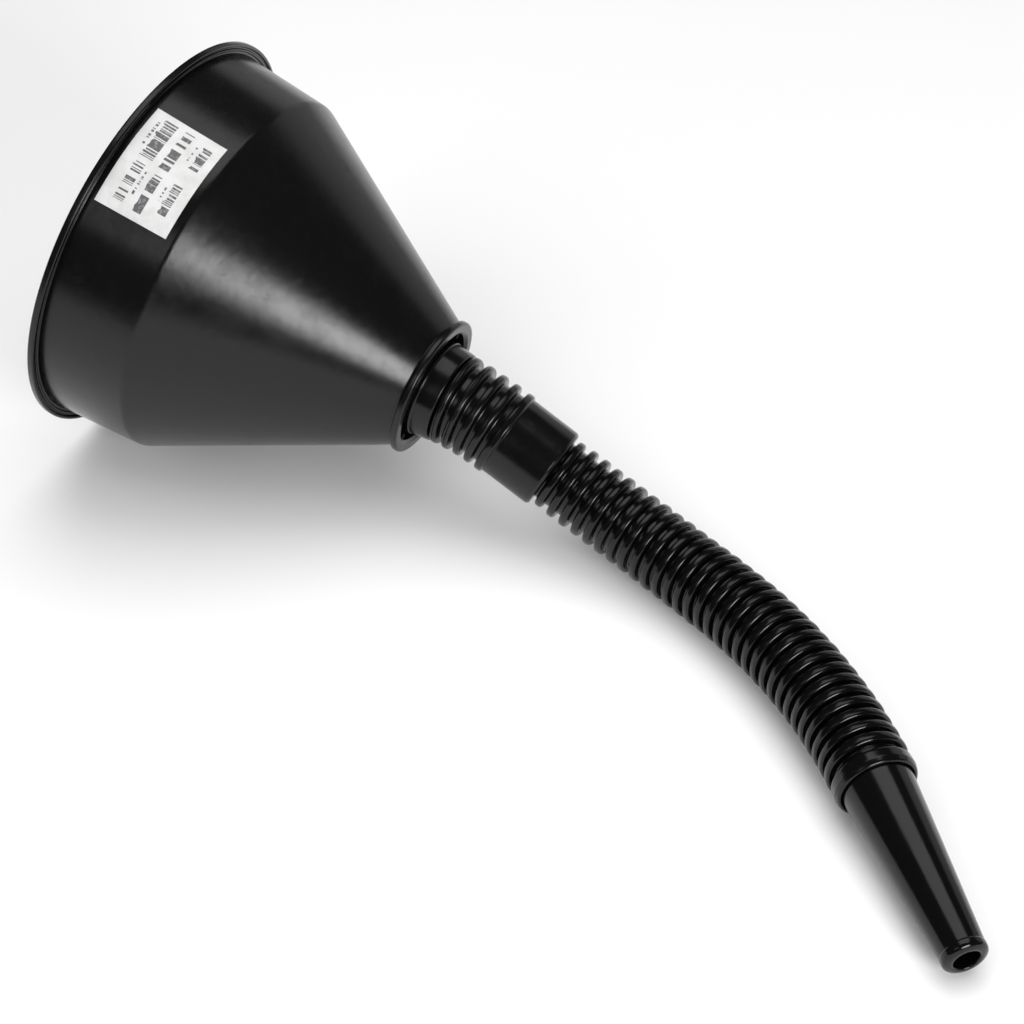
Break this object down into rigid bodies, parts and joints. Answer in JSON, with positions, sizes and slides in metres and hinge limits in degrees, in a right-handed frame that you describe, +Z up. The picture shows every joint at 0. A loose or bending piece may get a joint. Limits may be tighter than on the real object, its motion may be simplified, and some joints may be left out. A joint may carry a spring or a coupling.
{
  "type": "flexible spout funnel",
  "caption": "Black plastic funnel with a straight-sided wide mouth, a cone, a lift-out strainer and a swivelling, bendable bellows spout that ends in a tapered nozzle.",
  "frame": {"origin": "middle of the footprint, on the floor that the funnel lies on", "axes": "+X runs along the bowl from mouth to spout, +Z up; the hose turns towards -Y"},
  "size_m": [0.4068, 0.204, 0.1572],
  "materials": {
    "bowl_plastic": "black polyethylene, satin, finely scuffed",
    "spout_plastic": "black polyethylene, semi-gloss",
    "hose_plastic": "black polyethylene, glossy crests",
    "nozzle_plastic": "black polyethylene, glossy",
    "strainer_plastic": "black plastic, satin",
    "gauze_metal": "fine woven brass gauze",
    "label_paper": "white paper label with plain grey bars"
  },
  "bodies": {
    "bowl": {"bowl": "bowl_plastic", "label": "label_paper"},
    "strainer": {"strainer_frame": "strainer_plastic", "strainer_gauze": "gauze_metal"},
    "cuff": {"spout_cuff": "spout_plastic"},
    "spout_crest_2": {"spout_crest_2": "spout_plastic"},
    "spout_crest_3": {"spout_crest_3": "spout_plastic"},
    "spout_crest_4": {"spout_crest_4": "spout_plastic"},
    "sleeve": {"sleeve": "spout_plastic", "hose_spigot": "hose_plastic"},
    "hose_link_01": {"hose_link_01": "hose_plastic"},
    "hose_link_02": {"hose_link_02": "hose_plastic"},
    "hose_link_03": {"hose_link_03": "hose_plastic"},
    "hose_link_04": {"hose_link_04": "hose_plastic"},
    "hose_link_05": {"hose_link_05": "hose_plastic"},
    "hose_link_06": {"hose_link_06": "hose_plastic"},
    "hose_link_07": {"hose_link_07": "hose_plastic"},
    "hose_link_08": {"hose_link_08": "hose_plastic"},
    "hose_link_09": {"hose_link_09": "hose_plastic"},
    "hose_link_10": {"hose_link_10": "hose_plastic"},
    "hose_link_11": {"hose_link_11": "hose_plastic"},
    "hose_link_12": {"hose_link_12": "hose_plastic"},
    "hose_link_13": {"hose_link_13": "hose_plastic"},
    "hose_link_14": {"hose_link_14": "hose_plastic"},
    "nozzle": {"hose_link_15": "hose_plastic", "hose_collar": "hose_plastic", "nozzle": "nozzle_plastic"}
  },
  "joints": [
    {"name": "strainer_lift", "type": "slide", "parent": "bowl", "child": "strainer", "axis": [-0.9748, 0, 0.2233], "range_m": [0, 0.125]},
    {"name": "spout_swivel", "type": "hinge", "parent": "bowl", "child": "cuff", "pos_m": [-0.06376, 0.02202, 0.05126], "axis": [0.9748, 0, -0.2233], "continuous": true},
    {"name": "short_bend_1", "type": "hinge", "parent": "cuff", "child": "spout_crest_2", "pos_m": [-0.05031, 0.02202, 0.04818], "axis": [0, 1, 0], "range_deg": [-8, 2]},
    {"name": "short_bend_2", "type": "hinge", "parent": "spout_crest_2", "child": "spout_crest_3", "pos_m": [-0.04516, 0.02202, 0.04671], "axis": [0, 1, 0], "range_deg": [-8, 2]},
    {"name": "short_bend_3", "type": "hinge", "parent": "spout_crest_3", "child": "spout_crest_4", "pos_m": [-0.04011, 0.02202, 0.04497], "axis": [0, 1, 0], "range_deg": [-8, 2]},
    {"name": "short_bend_4", "type": "hinge", "parent": "spout_crest_4", "child": "sleeve", "pos_m": [-0.03515, 0.02202, 0.04296], "axis": [0, 1, 0], "range_deg": [-8, 2]},
    {"name": "hose_bend_01", "type": "hinge", "parent": "sleeve", "child": "hose_link_01", "pos_m": [-0.00638, 0.02202, 0.02952], "axis": [0, 0, 1], "range_deg": [-4, 9]},
    {"name": "hose_bend_02", "type": "hinge", "parent": "hose_link_01", "child": "hose_link_02", "pos_m": [0.00412, 0.02148, 0.02538], "axis": [0, 0, 1], "range_deg": [-4, 9]},
    {"name": "hose_bend_03", "type": "hinge", "parent": "hose_link_02", "child": "hose_link_03", "pos_m": [0.01482, 0.02038, 0.02191], "axis": [0, 0, 1], "range_deg": [-4, 9]},
    {"name": "hose_bend_04", "type": "hinge", "parent": "hose_link_03", "child": "hose_link_04", "pos_m": [0.02564, 0.0187, 0.01912], "axis": [0, 0, 1], "range_deg": [-4, 9]},
    {"name": "hose_bend_05", "type": "hinge", "parent": "hose_link_04", "child": "hose_link_05", "pos_m": [0.03651, 0.01645, 0.01701], "axis": [0, 0, 1], "range_deg": [-4, 9]},
    {"name": "hose_bend_06", "type": "hinge", "parent": "hose_link_05", "child": "hose_link_06", "pos_m": [0.04735, 0.01361, 0.01561], "axis": [0, 0, 1], "range_deg": [-4, 9]},
    {"name": "hose_bend_07", "type": "hinge", "parent": "hose_link_06", "child": "hose_link_07", "pos_m": [0.0581, 0.0102, 0.0149], "axis": [0, 0, 1], "range_deg": [-4, 9]},
    {"name": "hose_bend_08", "type": "hinge", "parent": "hose_link_07", "child": "hose_link_08", "pos_m": [0.06869, 0.00623, 0.0149], "axis": [0, 0, 1], "range_deg": [-4, 9]},
    {"name": "hose_bend_09", "type": "hinge", "parent": "hose_link_08", "child": "hose_link_09", "pos_m": [0.07905, 0.00173, 0.0149], "axis": [0, 0, 1], "range_deg": [-4, 9]},
    {"name": "hose_bend_10", "type": "hinge", "parent": "hose_link_09", "child": "hose_link_10", "pos_m": [0.08917, -0.00329, 0.0149], "axis": [0, 0, 1], "range_deg": [-4, 9]},
    {"name": "hose_bend_11", "type": "hinge", "parent": "hose_link_10", "child": "hose_link_11", "pos_m": [0.09902, -0.00883, 0.0149], "axis": [0, 0, 1], "range_deg": [-4, 9]},
    {"name": "hose_bend_12", "type": "hinge", "parent": "hose_link_11", "child": "hose_link_12", "pos_m": [0.10858, -0.01486, 0.0149], "axis": [0, 0, 1], "range_deg": [-4, 9]},
    {"name": "hose_bend_13", "type": "hinge", "parent": "hose_link_12", "child": "hose_link_13", "pos_m": [0.11781, -0.02137, 0.0149], "axis": [0, 0, 1], "range_deg": [-4, 9]},
    {"name": "hose_bend_14", "type": "hinge", "parent": "hose_link_13", "child": "hose_link_14", "pos_m": [0.1267, -0.02835, 0.0149], "axis": [0, 0, 1], "range_deg": [-4, 9]},
    {"name": "hose_bend_15", "type": "hinge", "parent": "hose_link_14", "child": "nozzle", "pos_m": [0.13522, -0.03577, 0.0149], "axis": [0, 0, 1], "range_deg": [-4, 9]}
  ]
}
